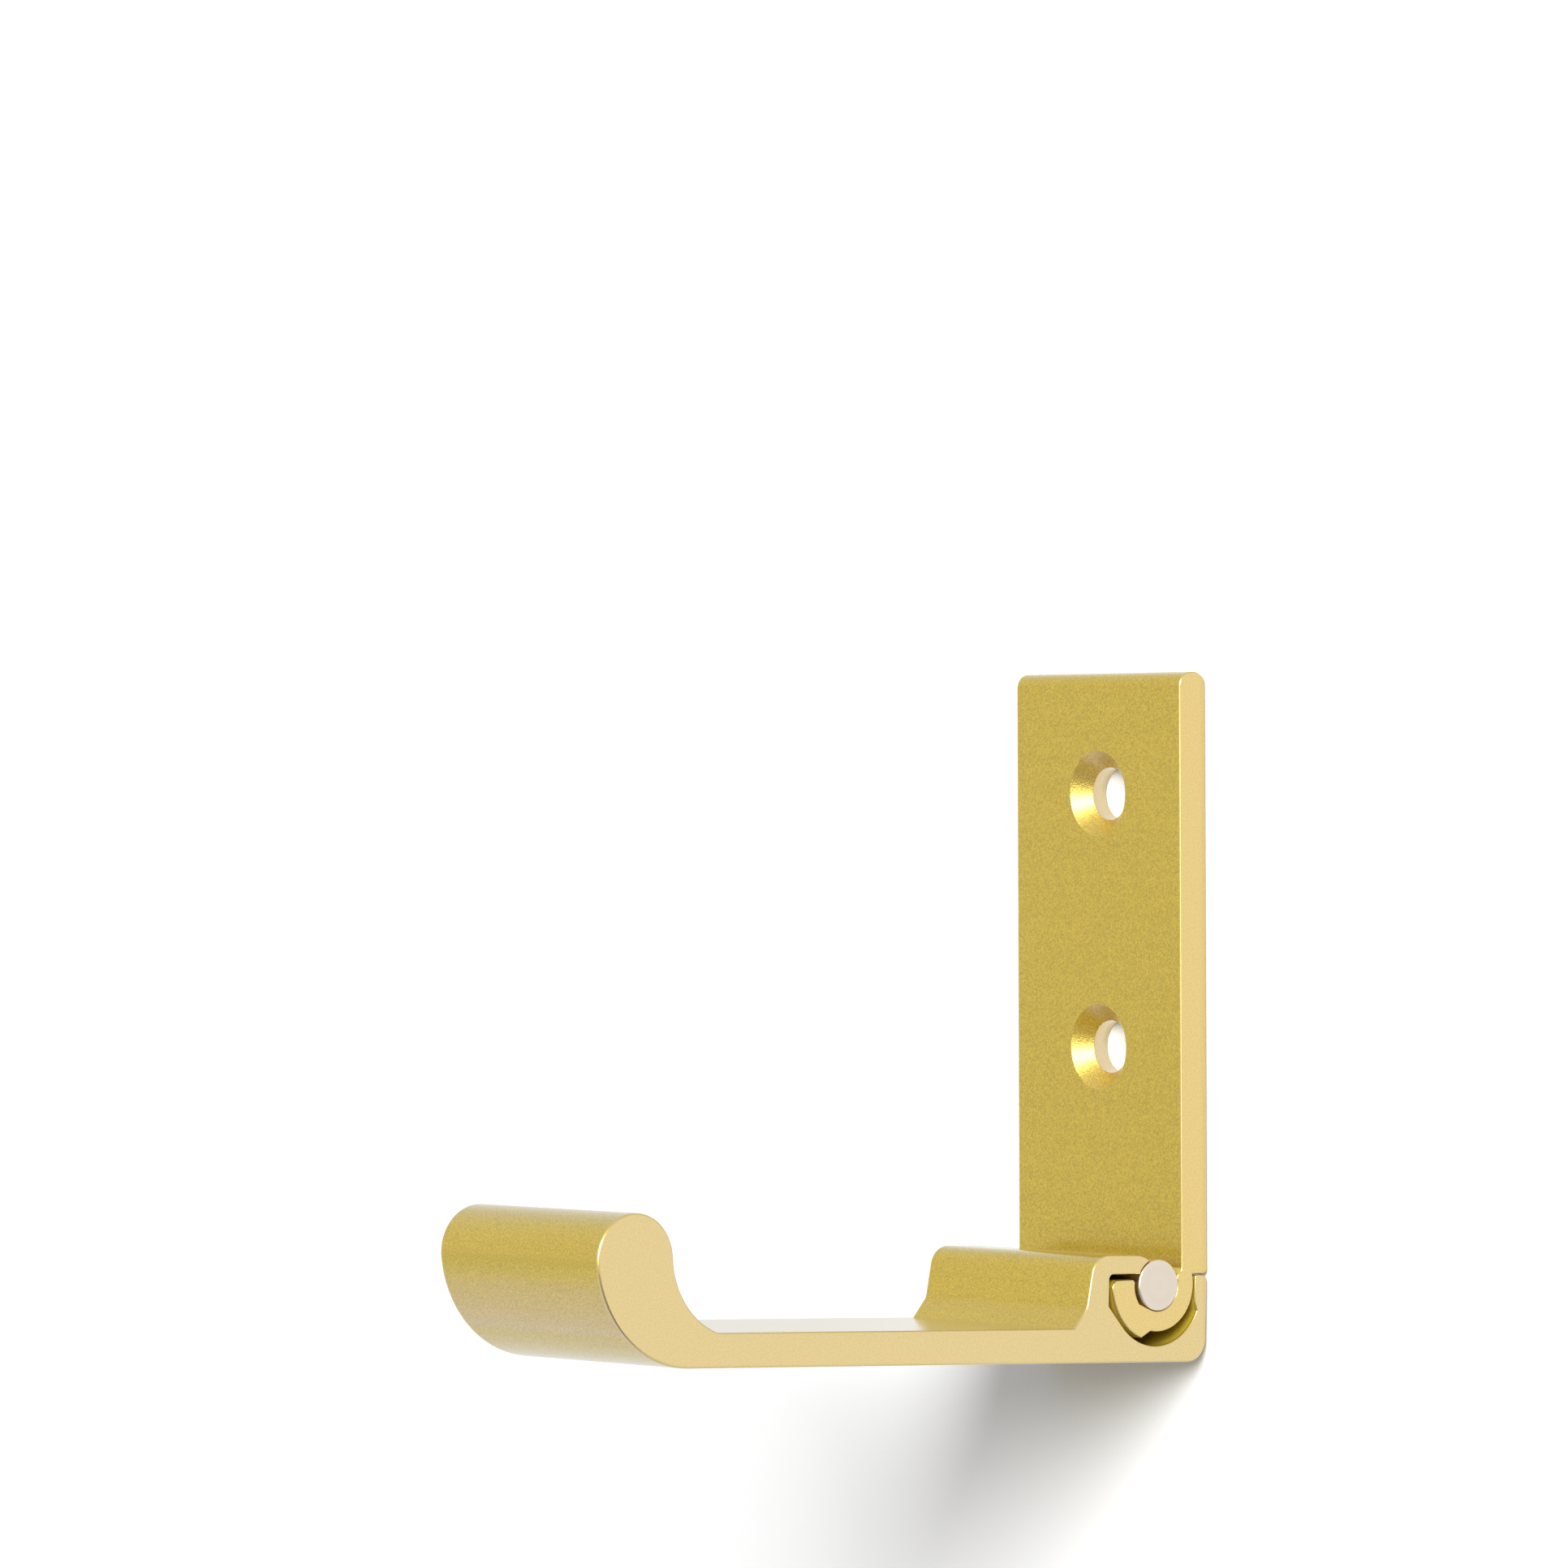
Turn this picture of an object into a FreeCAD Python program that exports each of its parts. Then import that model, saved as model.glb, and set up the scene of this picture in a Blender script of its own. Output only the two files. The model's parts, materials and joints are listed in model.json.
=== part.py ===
import FreeCAD, Part
import Sketcher
import math
import os

# Folding wall hook
# A short wall plate and a long flat arm, both sawn from drawn aluminium sections of one width.
# The plate's foot curls forward round a steel pin. The arm's finger reaches over that curl and
# bears on the pin from above. The arm's heel comes up behind the curl, and its lip meets the
# plate's lower edge, which holds the arm out. The arm folds up about the pin until the step on
# the curl's toe meets the hollow of the heel.
#
# The origin lies on the wall, midway between the two screw holes.
# X runs along the pin, Y into the wall and Z up. Both sections are drawn in the YZ plane with
# the pin's axis at the sketch's origin, so a sketch's x is Y and its y is Z.

doc = FreeCAD.newDocument("folding_wall_hook")

# Driving dimensions in millimetres and degrees

SIZES = {
    # both sections
    "width": 25.0,
    "edge_break": 0.2,
    # pin and its fits, as radial room
    "pin_diameter": 5.0,
    "pin_proud": 0.1,
    "pin_chamfer": 0.2,
    "seat_fit": 0.02,
    "running_fit": 0.05,
    # wall plate, measured from the pin's axis
    "plate_setback": 3.05,
    "plate_thickness": 3.3,
    "plate_end_round": 1.4,
    "lower_hole_rise": 22.9,
    "hole_spacing": 25.0,
    "end_margin": 11.9,
    "screw_hole": 5.2,
    "countersink": 8.4,
    "countersink_angle": 90.0,
    # curl under the pin, with its seat, ledge and toe
    "curl_wall": 2.03,
    "ledge_angle": 17.0,
    "ledge_rise": 0.6,
    "ledge_round": 0.6,
    "seat_end_angle": 65.0,
    "toe_relief": 0.38,
    "relief_start_angle": 36.6,
    "toe_step": 0.99,
    "toe_offset_out": 0.26,
    "toe_offset_up": 0.15,
    "toe_end_angle": 70.6,
    "step_foot_angle": 78.1,
    "toe_top": 0.65,
    "toe_outer_round": 0.8,
    "toe_inner_round": 0.35,
    "step_round": 0.3,
    "shoulder_rise": 0.92,
    "shoulder_round": 0.4,
    # arm at rest and its clearances
    "rest_tilt": 1.86,
    "stop_gap": 0.07,
    "wall_gap": 0.05,
    "lip_gap": 0.18,
    "toe_top_gap": 0.4,
    "toe_side_gap": 0.35,
    "cavity_gap": 0.11,
    "finger_gap": 0.12,
    # heel and lip
    "heel_round": 2.2,
    "lip_outer_round": 0.8,
    "lip_inner_round": 0.3,
    "lip_depth": 1.6,
    # cavity round the curl
    "cavity_offset_out": 0.13,
    "cavity_offset_down": 0.27,
    "cavity_start_angle": 42.0,
    "cavity_end_angle": 23.75,
    "cavity_round": 0.5,
    "pocket_round": 0.3,
    "floor_wall": 1.59,
    # finger and knuckle
    "finger_tip_angle": 67.0,
    "finger_bend": 2.8,
    "knuckle_wall": 1.95,
    "knuckle_splay": 0.85,
    "knuckle_foot": 2.2,
    "knuckle_round": 2.1,
    "ramp_length": 1.55,
    "ramp_round": 1.2,
    # bar and nose
    "bar_thickness": 3.34,
    "nose_reach": 68.4,
    "nose_sweep": 11.0,
    "nose_radius": 4.45,
    "nose_height": 14.56,
    "hollow_radius": 8.0,
    "hollow_sink": 0.41,
}

sheet = doc.addObject("Spreadsheet::Sheet", "Sizes")
for row, (alias, size) in enumerate(SIZES.items(), start=1):
    sheet.set("A%d" % row, alias)
    sheet.set("B%d" % row, str(size))
    sheet.setAlias("B%d" % row, alias)
doc.recompute()


# Dependent sizes, as expressions of the driving ones

def written(formula, **parts):
    """A formula in the sheet's words: each {name} is a part, each plain word after $ a cell."""
    return "(" + formula.format(**parts).replace("$", "Sizes.") + ")"


def minus(expression):
    return "-1 * " + expression


def on_round(radius, angle, side, out="0", up="0"):
    """The point of a round at an angle below the horizontal: side is -1 away from the wall."""
    return (
        written("{s} * {r} * cos({a} * 1 deg) - {o}", s=side, r=radius, a=angle, o=out),
        written("{u} - {r} * sin({a} * 1 deg)", r=radius, a=angle, u=up),
    )


PIN_RADIUS = written("$pin_diameter / 2")
SEAT = written("{pin} + $seat_fit", pin=PIN_RADIUS)
RELIEF = written("{seat} + $toe_relief", seat=SEAT)
CURL = written("{seat} + $curl_wall", seat=SEAT)
TOE = written("{curl} + $toe_step", curl=CURL)
CAVITY = written("{toe} + $cavity_gap", toe=TOE)
FINGER_SEAT = written("{pin} + $running_fit", pin=PIN_RADIUS)

PLATE_BACK = written("$plate_setback + $plate_thickness")
PLATE_TOP = written("$lower_hole_rise + $hole_spacing + $end_margin")
PIN_DROP = written("$lower_hole_rise + $hole_spacing / 2")
LEDGE_FOOT = written("{seat} * sin($ledge_angle * 1 deg)", seat=SEAT)
SHOULDER_INNER = written("sqrt({curl} ^ 2 - $shoulder_rise ^ 2)", curl=CURL)

HEEL_BACK = written("{back} - $wall_gap", back=PLATE_BACK)
LIP_FACE = written("{curl} + $lip_gap", curl=CURL)
LIP_TOP = written(
    "($shoulder_rise - $stop_gap + {face} * sin({tilt})) / cos({tilt})",
    face=LIP_FACE, tilt="$rest_tilt * 1 deg",
)
FINGER_UNDER = written("$toe_top + $toe_top_gap")
FINGER_TOP = written("$plate_setback - $finger_gap")
CAVITY_WALL = written("$toe_offset_out + {toe} + $toe_side_gap", toe=TOE)
KNUCKLE_TOP = written("{wall} + $knuckle_wall", wall=CAVITY_WALL)
KNUCKLE_FOOT = written("{top} + $knuckle_splay", top=KNUCKLE_TOP)
CAVITY_OUT = written("$cavity_offset_out")
CAVITY_UP = written("0 - $cavity_offset_down")
WALL_FOOT = written(
    "{up} - {r} * sin({a}) + ({wall} - {out} - {r} * cos({a})) / tan({a})",
    r=CAVITY, a="$cavity_start_angle * 1 deg", wall=CAVITY_WALL, out=CAVITY_OUT, up=CAVITY_UP,
)
BAR_UNDER = written("$cavity_offset_down + {cavity} + $floor_wall", cavity=CAVITY)
BAR_TOP = written("{under} - $bar_thickness", under=BAR_UNDER)

# The nose: a large round under it, a smaller one over its head, and a hollow behind it.
# Each round runs on into the next where the line through their centres crosses them.
SWEEP_OUT = written("$nose_reach - $nose_sweep")
HEAD_RISE = written("$nose_height - $nose_radius - $nose_sweep")
HEAD_RUN = written("sqrt(($nose_sweep - $nose_radius) ^ 2 - {rise} ^ 2)", rise=HEAD_RISE)
HEAD_OUT = written("{sweep} + {run}", sweep=SWEEP_OUT, run=HEAD_RUN)
HEAD_UP = written("$nose_height - $nose_radius - {under}", under=BAR_UNDER)
HOLLOW_UP = written("$hollow_radius - $hollow_sink - {top}", top=BAR_TOP)
HOLLOW_RUN = written(
    "sqrt(($nose_radius + $hollow_radius) ^ 2 - ({hollow} - {head}) ^ 2)",
    hollow=HOLLOW_UP, head=HEAD_UP,
)
HOLLOW_OUT = written("{head} - {run}", head=HEAD_OUT, run=HOLLOW_RUN)
HOLLOW_END = written("{out} + sqrt($hollow_radius ^ 2 - ($hollow_radius - $hollow_sink) ^ 2)", out=HOLLOW_OUT)

SHARE = written("$nose_radius / ($nose_radius + $hollow_radius)")
HEAD_BACK = (
    written("{share} * {run} - {head}", share=SHARE, run=HOLLOW_RUN, head=HEAD_OUT),
    written("{head} + {share} * ({hollow} - {head})", share=SHARE, hollow=HOLLOW_UP, head=HEAD_UP),
)
REACH = written("$nose_sweep / ($nose_sweep - $nose_radius)")
HEAD_FRONT = (
    written("0 - {sweep} - {reach} * {run}", sweep=SWEEP_OUT, reach=REACH, run=HEAD_RUN),
    written("$nose_sweep - {under} + {reach} * {rise}", under=BAR_UNDER, reach=REACH, rise=HEAD_RISE),
)

# The finger: a seat on the pin, and an end that rounds down to it from the finger's flat top
SEAT_FOOT = minus(written("sqrt({r} ^ 2 - {u} ^ 2)", r=FINGER_SEAT, u=FINGER_UNDER))
TIP_PLACE = on_round(FINGER_SEAT, "(0 - $finger_tip_angle)", -1)
TIP_DROP = written("{top} - {tip}", top=FINGER_TOP, tip=TIP_PLACE[1])
FINGER_END = written(
    "(($finger_bend + {tip}) ^ 2 + {drop} ^ 2) / (2 * {drop})",
    tip=TIP_PLACE[0], drop=TIP_DROP,
)


def number(expression):
    value = sheet.evalExpression(expression)
    return getattr(value, "Value", value)


# Sketch and feature helpers

TOLERANCE = 0.001


def origin_plane(body, role):
    return next(feature for feature in body.Origin.OriginFeatures if feature.Role == role)


def arc_between(start, end, radius, turn):
    """Arc of under half a turn from start to end: turn is 1 counterclockwise and -1 clockwise."""
    chord = end - start
    height = math.sqrt(radius ** 2 - (chord.Length / 2) ** 2)
    across = FreeCAD.Vector(-chord.y, chord.x, 0).normalize()
    centre = (start + end) / 2 + across * height * turn
    first, last = (start, end) if turn > 0 else (end, start)
    circle = Part.Circle(centre, FreeCAD.Vector(0, 0, 1), radius)
    return Part.ArcOfCircle(circle, *[math.atan2(p.y - centre.y, p.x - centre.x) for p in (first, last)])


def section_sketch(body, name, corners):
    """A closed section: each corner is (name, y, z, bend), and bend is None for a straight side to
    the next corner or (radius, turn) for a round one."""
    sketch = body.newObject("Sketcher::SketchObject", name)
    sketch.AttachmentSupport = [(origin_plane(body, "YZ_Plane"), "")]
    sketch.MapMode = "FlatFace"
    points = [FreeCAD.Vector(number(y), number(z), 0) for _, y, z, _ in corners]
    ends = []
    for index, (_, _, _, bend) in enumerate(corners):
        start, end = points[index], points[(index + 1) % len(points)]
        if bend is None:
            sketch.addGeometry(Part.LineSegment(start, end), False)
            ends.append((1, 2))
        else:
            radius, turn = bend
            sketch.addGeometry(arc_between(start, end, number(radius), turn), False)
            ends.append((1, 2) if turn > 0 else (2, 1))
    for index, (corner, y, z, bend) in enumerate(corners):
        last = index - 1 if index else len(corners) - 1
        sketch.addConstraint(Sketcher.Constraint("Coincident", last, ends[last][1], index, ends[index][0]))
        for kind, suffix, expression, value in (
            ("DistanceX", "_y", y, points[index].x),
            ("DistanceY", "_z", z, points[index].y),
        ):
            place = sketch.addConstraint(Sketcher.Constraint(kind, index, ends[index][0], value))
            sketch.renameConstraint(place, corner + suffix)
            sketch.setExpression("Constraints." + corner + suffix, expression)
        if bend is not None:
            place = sketch.addConstraint(Sketcher.Constraint("Radius", index, number(bend[0])))
            sketch.renameConstraint(place, corner + "_radius")
            sketch.setExpression("Constraints." + corner + "_radius", bend[0])
    return sketch


def pad_section(body, sketch):
    pad = body.newObject("PartDesign::Pad", sketch.Name + "_pad")
    pad.Profile = sketch
    pad.SideType = "Symmetric"
    pad.setExpression("Length", "Sizes.width")
    doc.recompute()
    return pad


def long_edges(shape, places):
    """Names of the edges along X at the given corners of a section."""
    names = []
    for y, z in places:
        corner = FreeCAD.Vector(0, number(y), number(z))
        for index, edge in enumerate(shape.Edges, start=1):
            start, end = edge.Vertexes[0].Point, edge.Vertexes[-1].Point
            along = abs(start.x - end.x) > edge.Length - TOLERANCE
            if along and FreeCAD.Vector(0, start.y, start.z).distanceToPoint(corner) < TOLERANCE:
                names.append("Edge%d" % index)
    return names


def round_corners(body, base, corners, rounds):
    """One fillet feature for each size, on the corners that it names."""
    place = {name: (y, z) for name, y, z, _ in corners}
    for size, names in rounds.items():
        edges = long_edges(base.Shape, [place[name] for name in names])
        fillet = body.newObject("PartDesign::Fillet", size)
        fillet.Base = (base, edges)
        fillet.setExpression("Radius", "Sizes." + size)
        doc.recompute()
        base = fillet
    return base


def break_sawn_edges(body, base, name):
    """Chamfer the whole outline of both sawn faces."""
    half = number("Sizes.width / 2")
    edges = [
        "Edge%d" % index
        for index, edge in enumerate(base.Shape.Edges, start=1)
        if edge.BoundBox.XLength < TOLERANCE and abs(abs(edge.BoundBox.Center.x) - half) < TOLERANCE
    ]
    chamfer = body.newObject("PartDesign::Chamfer", name)
    chamfer.Base = (base, edges)
    chamfer.setExpression("Size", "Sizes.edge_break")
    doc.recompute()
    return chamfer


def place_on_wall(part):
    """Sketches are drawn about the pin, which stands off the wall and hangs below the screws."""
    part.setExpression(".Placement.Base.y", minus(PLATE_BACK))
    part.setExpression(".Placement.Base.z", minus(PIN_DROP))


# Wall plate: the flat screwed to the wall, the curl under the pin and its stepped toe

PLATE_CORNERS = [
    ("front_top", "Sizes.plate_setback", PLATE_TOP, None),
    ("ledge_top", "Sizes.plate_setback", written("{foot} + $ledge_rise", foot=LEDGE_FOOT), None),
    ("seat_start", written("{seat} * cos($ledge_angle * 1 deg)", seat=SEAT), LEDGE_FOOT, (SEAT, -1)),
    ("seat_end", *on_round(SEAT, "$seat_end_angle", -1), None),
    ("relief_start", *on_round(RELIEF, "$relief_start_angle", -1), (RELIEF, -1)),
    ("toe_inner", minus(written("sqrt({r} ^ 2 - $toe_top ^ 2)", r=RELIEF)), "Sizes.toe_top", None),
    (
        "toe_outer",
        minus(written("$toe_offset_out + sqrt({toe} ^ 2 - ($toe_top - $toe_offset_up) ^ 2)", toe=TOE)),
        "Sizes.toe_top",
        (TOE, 1),
    ),
    ("step_top", *on_round(TOE, "$toe_end_angle", -1, out="$toe_offset_out", up="$toe_offset_up"), None),
    ("step_foot", *on_round(CURL, "$step_foot_angle", -1), (CURL, 1)),
    ("shoulder_inner", SHOULDER_INNER, "Sizes.shoulder_rise", None),
    ("shoulder_outer", PLATE_BACK, "Sizes.shoulder_rise", None),
    ("back_top", PLATE_BACK, PLATE_TOP, None),
]
PLATE_ROUNDS = {
    "plate_end_round": ["front_top", "back_top"],
    "ledge_round": ["ledge_top"],
    "toe_outer_round": ["toe_outer"],
    "toe_inner_round": ["toe_inner"],
    "step_round": ["step_top"],
    "shoulder_round": ["shoulder_outer"],
}

plate = doc.addObject("PartDesign::Body", "wall_plate")
plate.Label = "wall_plate"
plate_section = section_sketch(plate, "plate_section", PLATE_CORNERS)
plate_pad = pad_section(plate, plate_section)
plate_rounded = round_corners(plate, plate_pad, PLATE_CORNERS, PLATE_ROUNDS)
plate_broken = break_sawn_edges(plate, plate_rounded, "plate_edges")

# Two countersunk screw holes, drilled from the front face towards the wall
hole_centres = plate.newObject("Sketcher::SketchObject", "hole_centres")
hole_centres.AttachmentSupport = [(origin_plane(plate, "XZ_Plane"), "")]
hole_centres.MapMode = "FlatFace"
hole_centres.setExpression(".AttachmentOffset.Base.z", minus("Sizes.plate_setback"))
for index, rise in enumerate(("Sizes.lower_hole_rise", "Sizes.lower_hole_rise + Sizes.hole_spacing")):
    centre = FreeCAD.Vector(0, number(rise), 0)
    hole = Part.Circle(centre, FreeCAD.Vector(0, 0, 1), number("Sizes.screw_hole / 2"))
    hole_centres.addGeometry(hole, False)
    hole_centres.addConstraint(Sketcher.Constraint("PointOnObject", index, 3, -2))
    for kind, name, expression in (
        (("DistanceY", index, 3), "rise_%d" % index, rise),
        (("Radius", index), "radius_%d" % index, "Sizes.screw_hole / 2"),
    ):
        constraint = hole_centres.addConstraint(Sketcher.Constraint(*kind, number(expression)))
        hole_centres.renameConstraint(constraint, name)
        hole_centres.setExpression("Constraints." + name, expression)
doc.recompute()
screw_holes = plate.newObject("PartDesign::Hole", "screw_holes")
screw_holes.Profile = hole_centres
screw_holes.DepthType = "ThroughAll"
screw_holes.ThreadType = "None"
screw_holes.HoleCutType = "Countersink"
screw_holes.HoleCutCustomValues = True
screw_holes.setExpression("Diameter", "Sizes.screw_hole")
screw_holes.setExpression("HoleCutDiameter", "Sizes.countersink")
screw_holes.setExpression("HoleCutCountersinkAngle", "Sizes.countersink_angle")
doc.recompute()
plate.Tip = screw_holes
place_on_wall(plate)

# Arm: the bar with its nose at one end and the finger, cavity and heel at the other

ARM_CORNERS = [
    ("heel_bottom", HEEL_BACK, minus(BAR_UNDER), None),
    ("lip_outer", HEEL_BACK, LIP_TOP, None),
    ("lip_inner", LIP_FACE, LIP_TOP, None),
    ("lip_foot", LIP_FACE, minus("Sizes.lip_depth"), None),
    ("cavity_end", *on_round(CAVITY, "$cavity_end_angle", 1, CAVITY_OUT, CAVITY_UP), (CAVITY, -1)),
    ("cavity_start", *on_round(CAVITY, "$cavity_start_angle", -1, CAVITY_OUT, CAVITY_UP), None),
    ("wall_foot", minus(CAVITY_WALL), WALL_FOOT, None),
    ("wall_top", minus(CAVITY_WALL), FINGER_UNDER, None),
    ("seat_foot", SEAT_FOOT, FINGER_UNDER, (FINGER_SEAT, -1)),
    ("finger_tip", TIP_PLACE[0], TIP_PLACE[1], (FINGER_END, 1)),
    ("finger_bend", minus("Sizes.finger_bend"), FINGER_TOP, None),
    ("knuckle_top", minus(KNUCKLE_TOP), FINGER_TOP, None),
    ("knuckle_foot", minus(KNUCKLE_FOOT), minus("Sizes.knuckle_foot"), None),
    ("ramp_foot", minus(written("{foot} + $ramp_length", foot=KNUCKLE_FOOT)), minus(BAR_TOP), None),
    ("hollow_end", minus(HOLLOW_END), minus(BAR_TOP), ("Sizes.hollow_radius", -1)),
    ("head_back", HEAD_BACK[0], HEAD_BACK[1], ("Sizes.nose_radius", 1)),
    ("head_top", minus(HEAD_OUT), written("{up} + $nose_radius", up=HEAD_UP), ("Sizes.nose_radius", 1)),
    ("head_front", HEAD_FRONT[0], HEAD_FRONT[1], ("Sizes.nose_sweep", 1)),
    ("sweep_end", minus(SWEEP_OUT), minus(BAR_UNDER), None),
]
ARM_ROUNDS = {
    "heel_round": ["heel_bottom"],
    "lip_outer_round": ["lip_outer"],
    "lip_inner_round": ["lip_inner"],
    "cavity_round": ["wall_foot", "wall_top"],
    "pocket_round": ["cavity_end"],
    "knuckle_round": ["knuckle_top"],
    "ramp_round": ["knuckle_foot"],
}

arm = doc.addObject("PartDesign::Body", "hook_arm")
arm.Label = "hook_arm"
arm_section = section_sketch(arm, "arm_section", ARM_CORNERS)
arm_pad = pad_section(arm, arm_section)
arm_rounded = round_corners(arm, arm_pad, ARM_CORNERS, ARM_ROUNDS)
arm.Tip = break_sawn_edges(arm, arm_rounded, "arm_edges")
place_on_wall(arm)
arm.Placement.Rotation = FreeCAD.Rotation(FreeCAD.Vector(-1, 0, 0), number("Sizes.rest_tilt"))
arm.setExpression(".Placement.Rotation.Angle", "Sizes.rest_tilt * 1 deg")

# Hinge pin: a plain turned pin with chamfered ends, held by the curl

pin = doc.addObject("PartDesign::Body", "hinge_pin")
pin.Label = "hinge_pin"
pin_circle = pin.newObject("Sketcher::SketchObject", "pin_circle")
pin_circle.AttachmentSupport = [(origin_plane(pin, "YZ_Plane"), "")]
pin_circle.MapMode = "FlatFace"
pin_circle.addGeometry(Part.Circle(FreeCAD.Vector(), FreeCAD.Vector(0, 0, 1), number(PIN_RADIUS)), False)
pin_circle.addConstraint(Sketcher.Constraint("Coincident", 0, 3, -1, 1))
pin_circle.renameConstraint(
    pin_circle.addConstraint(Sketcher.Constraint("Radius", 0, number(PIN_RADIUS))), "pin_radius"
)
pin_circle.setExpression("Constraints.pin_radius", PIN_RADIUS)
pin_bar = pin.newObject("PartDesign::Pad", "pin_bar")
pin_bar.Profile = pin_circle
pin_bar.SideType = "Symmetric"
pin_bar.setExpression("Length", "Sizes.width + 2 * Sizes.pin_proud")
doc.recompute()
pin_ends = pin.newObject("PartDesign::Chamfer", "pin_ends")
pin_ends.Base = (pin_bar, ["Edge%d" % i for i, e in enumerate(pin_bar.Shape.Edges, start=1) if e.Closed])
pin_ends.setExpression("Size", "Sizes.pin_chamfer")
doc.recompute()
pin.Tip = pin_ends
place_on_wall(pin)
doc.recompute()

# Check every object, then write one file for each piece

for item in doc.Objects:
    faults = [state for state in item.State if state in ("Invalid", "Error")]
    if faults:
        raise RuntimeError("%s failed: %s" % (item.Name, ", ".join(faults)))

os.makedirs("parts", exist_ok=True)
for piece in (plate, arm, pin):
    if piece.Shape.isNull() or not piece.Shape.isValid() or len(piece.Shape.Solids) != 1:
        raise RuntimeError("%s is not one valid solid" % piece.Label)
    piece.Shape.exportStep("parts/%s.step" % piece.Label)
    print(piece.Label, "volume %.1f" % piece.Shape.Volume, piece.Shape.BoundBox)
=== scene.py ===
import json
import math
from collections import Counter

import bmesh
import bpy
from mathutils import Euler, Matrix, Vector


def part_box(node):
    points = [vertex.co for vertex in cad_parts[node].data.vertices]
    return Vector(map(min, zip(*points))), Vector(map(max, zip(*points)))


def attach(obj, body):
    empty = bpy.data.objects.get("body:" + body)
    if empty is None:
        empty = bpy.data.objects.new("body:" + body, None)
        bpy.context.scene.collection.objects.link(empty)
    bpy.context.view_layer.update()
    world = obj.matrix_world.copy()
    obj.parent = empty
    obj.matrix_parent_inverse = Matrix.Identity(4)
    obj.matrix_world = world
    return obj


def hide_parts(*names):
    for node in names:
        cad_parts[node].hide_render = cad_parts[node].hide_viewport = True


# Folding wall hook in satin gold anodised aluminium, with a plain turned steel pin.
# The two aluminium pieces were drawn as long bars of one section and sawn to width, so each is
# made again here from its section in the frame, with the sawn edges rounded over.
# Lengths are metres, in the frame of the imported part: X along the pin, Y into the wall, Z up.

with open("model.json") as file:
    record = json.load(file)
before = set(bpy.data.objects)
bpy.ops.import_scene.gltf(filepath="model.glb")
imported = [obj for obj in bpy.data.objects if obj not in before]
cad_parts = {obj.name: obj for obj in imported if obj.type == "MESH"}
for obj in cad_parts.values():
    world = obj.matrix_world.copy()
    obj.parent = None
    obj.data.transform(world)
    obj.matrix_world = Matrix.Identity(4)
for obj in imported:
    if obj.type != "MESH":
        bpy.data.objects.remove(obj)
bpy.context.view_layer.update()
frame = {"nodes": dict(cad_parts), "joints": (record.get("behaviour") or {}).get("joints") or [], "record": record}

MM = 0.001
WELD = 0.001 * MM

# Sizes read from the frame

joint = frame["joints"][0]
PIN_CENTRE = Vector(joint["pos_m"])
screws = next(m for m in frame["record"]["mounts"] if m["name"] == "wall_screws")
HOLE_RADIUS = screws["dims"]["hole_r_mm"] * MM
HOLE_SPACING = screws["dims"]["spacing_y_mm"] * MM
HOLE_COUNT = screws["dims"]["count"]
HOLE_REACH = 3 * HOLE_RADIUS
lowest_hole = Vector((0, 0, -HOLE_SPACING / 2))
around_hole = [
    place for place in (vertex.co - lowest_hole for vertex in frame["nodes"]["wall_plate"].data.vertices)
    if math.hypot(place.x, place.z) < HOLE_REACH
]
PLATE_FRONT = min(place.y for place in around_hole)
COUNTERSINK_RADIUS = max(
    math.hypot(place.x, place.z) for place in around_hole if place.y < PLATE_FRONT + WELD
)


# Node helpers

def add(tree, kind, inputs=None, **settings):
    """Add one node with its settings. Each input, by name or number, gets a value, or a link from
    a socket or from a node's first output."""
    node = tree.nodes.new(kind)
    for name, value in settings.items():
        setattr(node, name, value)
    for name, value in (inputs or {}).items():
        if isinstance(value, bpy.types.Node):
            value = value.outputs[0]
        if isinstance(value, bpy.types.NodeSocket):
            tree.links.new(value, node.inputs[name])
        else:
            node.inputs[name].default_value = value
    return node


def linear(colour):
    """An sRGB hex colour as linear red, green, blue and alpha."""
    parts = [int(colour[i:i + 2], 16) / 255 for i in (1, 3, 5)]
    return [c / 12.92 if c <= 0.04045 else ((c + 0.055) / 1.055) ** 2.4 for c in parts] + [1.0]


# Materials

def new_material(name):
    material = bpy.data.materials.new(name)
    material.use_nodes = True
    tree = material.node_tree
    tree.nodes.clear()
    return material, tree, add(tree, "ShaderNodeTexCoord").outputs["Object"]


# The real etched grain is near 0.05 mm and the turned rings near 0.1 mm, too fine to show, so
# both are drawn as coarse as they need to be
GRAIN = 0.16 * MM
GRAIN_DETAIL = 2.0
RING_SPACING = 0.25 * MM
# Faint lines left by the drawing die, much longer than they are wide
LINE_SPACING = 0.6 * MM
LINE_STRETCH = 50
LINE_DETAIL = 3.0
# How far the roughness goes up and down with the grain
ROUGHER = 0.04
# The part of a noise texture's range that is used
NOISE_LOW = 0.3
NOISE_HIGH = 0.7
SPECK_HIGH = 0.72


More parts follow.
